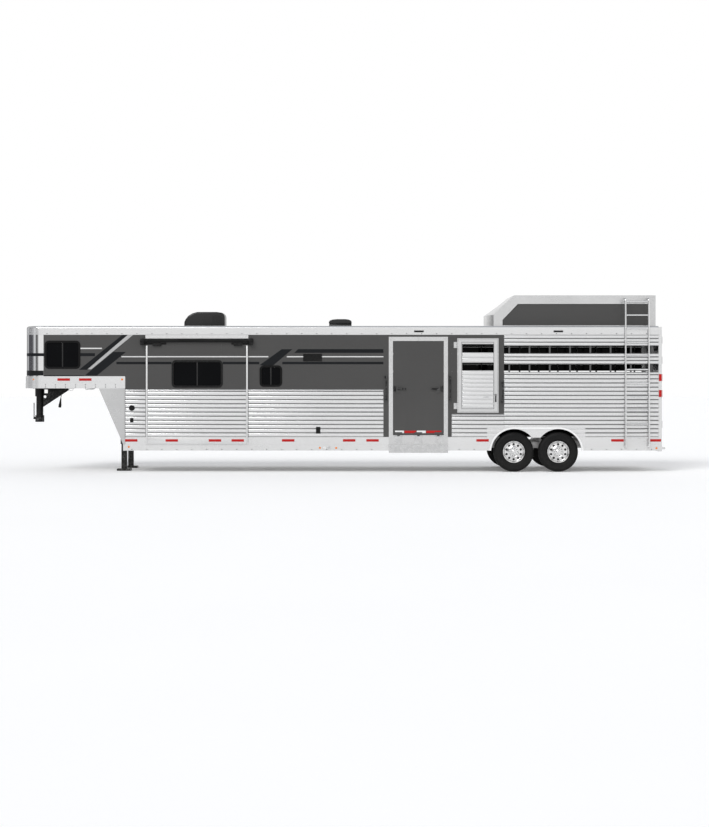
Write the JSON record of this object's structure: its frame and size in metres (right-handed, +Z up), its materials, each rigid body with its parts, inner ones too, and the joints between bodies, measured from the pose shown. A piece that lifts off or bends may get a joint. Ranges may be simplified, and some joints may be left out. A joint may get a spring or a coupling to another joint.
{
  "type": "livestock trailer",
  "caption": "Long gooseneck livestock trailer with living quarters, slide-out room, side ramp, slatted stock compartment, roof load pod and ladder.",
  "frame": {"origin": "on the ground under the middle of the trailer's overall box", "axes": "+X towards the rear doors, +Y towards the side with the entry door, +Z up; the slide-out room and ramp face -Y"},
  "size_m": [12.8606, 2.6015, 3.546],
  "materials": {
    "aluminium_bright": "polished sheet",
    "aluminium_mill": "mill finish extrusion",
    "grey_paint": "gloss dark grey painted aluminium sheet",
    "white_trim": "white coated trim",
    "black_steel": "black painted steel",
    "bright_steel": "zinc plated",
    "black_plastic": "matt",
    "black_frame": "black coated window frame",
    "dark_glass": "dark tint",
    "tyre": "rubber",
    "fabric_black": "woven vinyl",
    "lamp": "moulded lens",
    "rubber_black": "matt"
  },
  "bodies": {
    "trailer_body": {"chassis_frame": "aluminium_mill", "decks": "aluminium_mill", "lower_rails": "aluminium_bright", "bulkheads": "aluminium_mill", "lower_skins": "aluminium_bright", "grey_skins": "grey_paint", "nose_shell": "aluminium_bright", "body_ribs": "aluminium_mill", "stock_planks": "aluminium_bright", "roof_rails": "aluminium_bright", "roof_skin": "aluminium_mill", "rear_frame": "aluminium_bright", "fender_skirts": "aluminium_bright", "fender_trims": "white_trim", "running_gear": "black_steel", "window_frames": "black_frame", "window_panes": "dark_glass", "opening_frames": "aluminium_bright", "wall_fittings": "black_steel", "lamps": "lamp", "grab_handles": "black_steel", "pod_frame": "aluminium_bright", "pod_panels": "grey_paint", "ladder_rails": "aluminium_bright", "ladder_rungs": "aluminium_bright", "roof_units": "black_plastic", "gooseneck_steel": "black_steel", "plug_cable": "rubber_black", "trailer_plug": "black_plastic"},
    "slide_room": {"slide_box": "aluminium_mill", "slide_face": "grey_paint", "slide_fittings": "black_plastic", "slide_pane": "dark_glass"},
    "slide_sash": {"slide_sash": "dark_glass"},
    "topper_roll": {"topper_roll": "fabric_black"},
    "nose_sash": {"nose_sash": "dark_glass"},
    "small_sash": {"small_sash": "dark_glass"},
    "ramp": {"ramp_panel": "grey_paint"},
    "ramp_latch_front": {"ramp_latch_front": "black_steel"},
    "ramp_latch_rear": {"ramp_latch_rear": "black_steel"},
    "escape_door": {"escape_door": "aluminium_bright"},
    "escape_paddle": {"escape_paddle": "black_steel"},
    "entry_door": {"entry_door": "grey_paint"},
    "rear_door_left": {"rear_door_left": "aluminium_bright"},
    "rear_door_right": {"rear_door_right": "aluminium_bright"},
    "rear_latch": {"rear_latch": "bright_steel"},
    "pod_hatch": {"pod_hatch": "grey_paint"},
    "vent_lid": {"vent_lid": "black_plastic"},
    "coupler_head": {"coupler_head": "black_steel"},
    "coupler_latch": {"coupler_latch": "black_steel"},
    "jack_leg_left": {"jack_leg_left": "black_steel"},
    "jack_leg_right": {"jack_leg_right": "black_steel"},
    "wheel_front_left": {"tyre_front_left": "tyre", "wheel_front_left": "aluminium_bright"},
    "wheel_front_right": {"tyre_front_right": "tyre", "wheel_front_right": "aluminium_bright"},
    "wheel_rear_left": {"tyre_rear_left": "tyre", "wheel_rear_left": "aluminium_bright"},
    "wheel_rear_right": {"tyre_rear_right": "tyre", "wheel_rear_right": "aluminium_bright"}
  },
  "joints": [
    {"name": "slide_out", "type": "slide", "parent": "trailer_body", "child": "slide_room", "axis": [0, -1, 0], "range_m": [0, 0.69]},
    {"name": "topper_turn", "type": "hinge", "parent": "slide_room", "child": "topper_roll", "pos_m": [-3.959, -1.2905, 2.628], "axis": [1, 0, 0], "range_deg": [0, 1300]},
    {"name": "slide_window", "type": "slide", "parent": "slide_room", "child": "slide_sash", "axis": [1, 0, 0], "range_m": [0, 0.458]},
    {"name": "nose_window", "type": "slide", "parent": "trailer_body", "child": "nose_sash", "axis": [1, 0, 0], "range_m": [0, 0.303]},
    {"name": "small_window", "type": "slide", "parent": "trailer_body", "child": "small_sash", "axis": [1, 0, 0], "range_m": [0, 0.172]},
    {"name": "ramp_fold", "type": "hinge", "parent": "trailer_body", "child": "ramp", "pos_m": [0.975, -1.235, 0.728], "axis": [1, 0, 0], "range_deg": [0, 111]},
    {"name": "ramp_latch_front_turn", "type": "hinge", "parent": "ramp", "child": "ramp_latch_front", "pos_m": [1.085, -1.239, 1.664], "axis": [0, -1, 0], "range_deg": [0, 90]},
    {"name": "ramp_latch_rear_turn", "type": "hinge", "parent": "ramp", "child": "ramp_latch_rear", "pos_m": [1.881, -1.239, 1.664], "axis": [0, 1, 0], "range_deg": [0, 90]},
    {"name": "escape_door_swing", "type": "hinge", "parent": "trailer_body", "child": "escape_door", "pos_m": [2.262, -1.233, 1.5], "axis": [0, 0, -1], "range_deg": [0, 110]},
    {"name": "escape_paddle_turn", "type": "hinge", "parent": "escape_door", "child": "escape_paddle", "pos_m": [3.031, -1.235, 1.54], "axis": [0, 1, 0], "range_deg": [0, 60]},
    {"name": "entry_door_swing", "type": "hinge", "parent": "trailer_body", "child": "entry_door", "pos_m": [-1.513, 1.233, 1.5], "axis": [0, 0, 1], "range_deg": [0, 165]},
    {"name": "rear_door_left_swing", "type": "hinge", "parent": "trailer_body", "child": "rear_door_left", "pos_m": [6.371, -1.13, 1.5], "axis": [0, 0, -1], "range_deg": [0, 165]},
    {"name": "rear_door_right_swing", "type": "hinge", "parent": "trailer_body", "child": "rear_door_right", "pos_m": [6.371, 1.13, 1.5], "axis": [0, 0, 1], "range_deg": [0, 165]},
    {"name": "rear_latch_turn", "type": "hinge", "parent": "rear_door_right", "child": "rear_latch", "pos_m": [6.381, 0.06, 1.555], "axis": [0, 0, -1], "range_deg": [0, 95]},
    {"name": "pod_hatch_lift", "type": "hinge", "parent": "trailer_body", "child": "pod_hatch", "pos_m": [6.283, 0, 3.482], "axis": [0, -1, 0], "range_deg": [0, 100]},
    {"name": "vent_lid_lift", "type": "hinge", "parent": "trailer_body", "child": "vent_lid", "pos_m": [-0.347, 0, 2.999], "axis": [0, -1, 0], "range_deg": [0, 70]},
    {"name": "coupler_height", "type": "slide", "parent": "trailer_body", "child": "coupler_head", "axis": [0, 0, -1], "range_m": [0, 0.25]},
    {"name": "coupler_latch_turn", "type": "hinge", "parent": "coupler_head", "child": "coupler_latch", "pos_m": [-6.397, 0, 1.052], "axis": [0, -1, 0], "range_deg": [0, 80]},
    {"name": "jack_left_lift", "type": "slide", "parent": "trailer_body", "child": "jack_leg_left", "axis": [0, 0, 1], "range_m": [0, 0.45]},
    {"name": "jack_right_lift", "type": "slide", "parent": "trailer_body", "child": "jack_leg_right", "axis": [0, 0, 1], "range_m": [0, 0.45]},
    {"name": "wheel_front_left_spin", "type": "hinge", "parent": "trailer_body", "child": "wheel_front_left", "pos_m": [3.397, -1.0765, 0.4], "axis": [0, 1, 0], "continuous": true},
    {"name": "wheel_front_right_spin", "type": "hinge", "parent": "trailer_body", "child": "wheel_front_right", "pos_m": [3.397, 1.0765, 0.4], "axis": [0, 1, 0], "continuous": true},
    {"name": "wheel_rear_left_spin", "type": "hinge", "parent": "trailer_body", "child": "wheel_rear_left", "pos_m": [4.289, -1.0765, 0.4], "axis": [0, 1, 0], "continuous": true},
    {"name": "wheel_rear_right_spin", "type": "hinge", "parent": "trailer_body", "child": "wheel_rear_right", "pos_m": [4.289, 1.0765, 0.4], "axis": [0, 1, 0], "continuous": true}
  ],
  "couplings": [
    {"joint": "topper_turn", "follows": "slide_out", "rad_per_m": 30.303},
    {"joint": "jack_right_lift", "follows": "jack_left_lift", "ratio": 1}
  ]
}
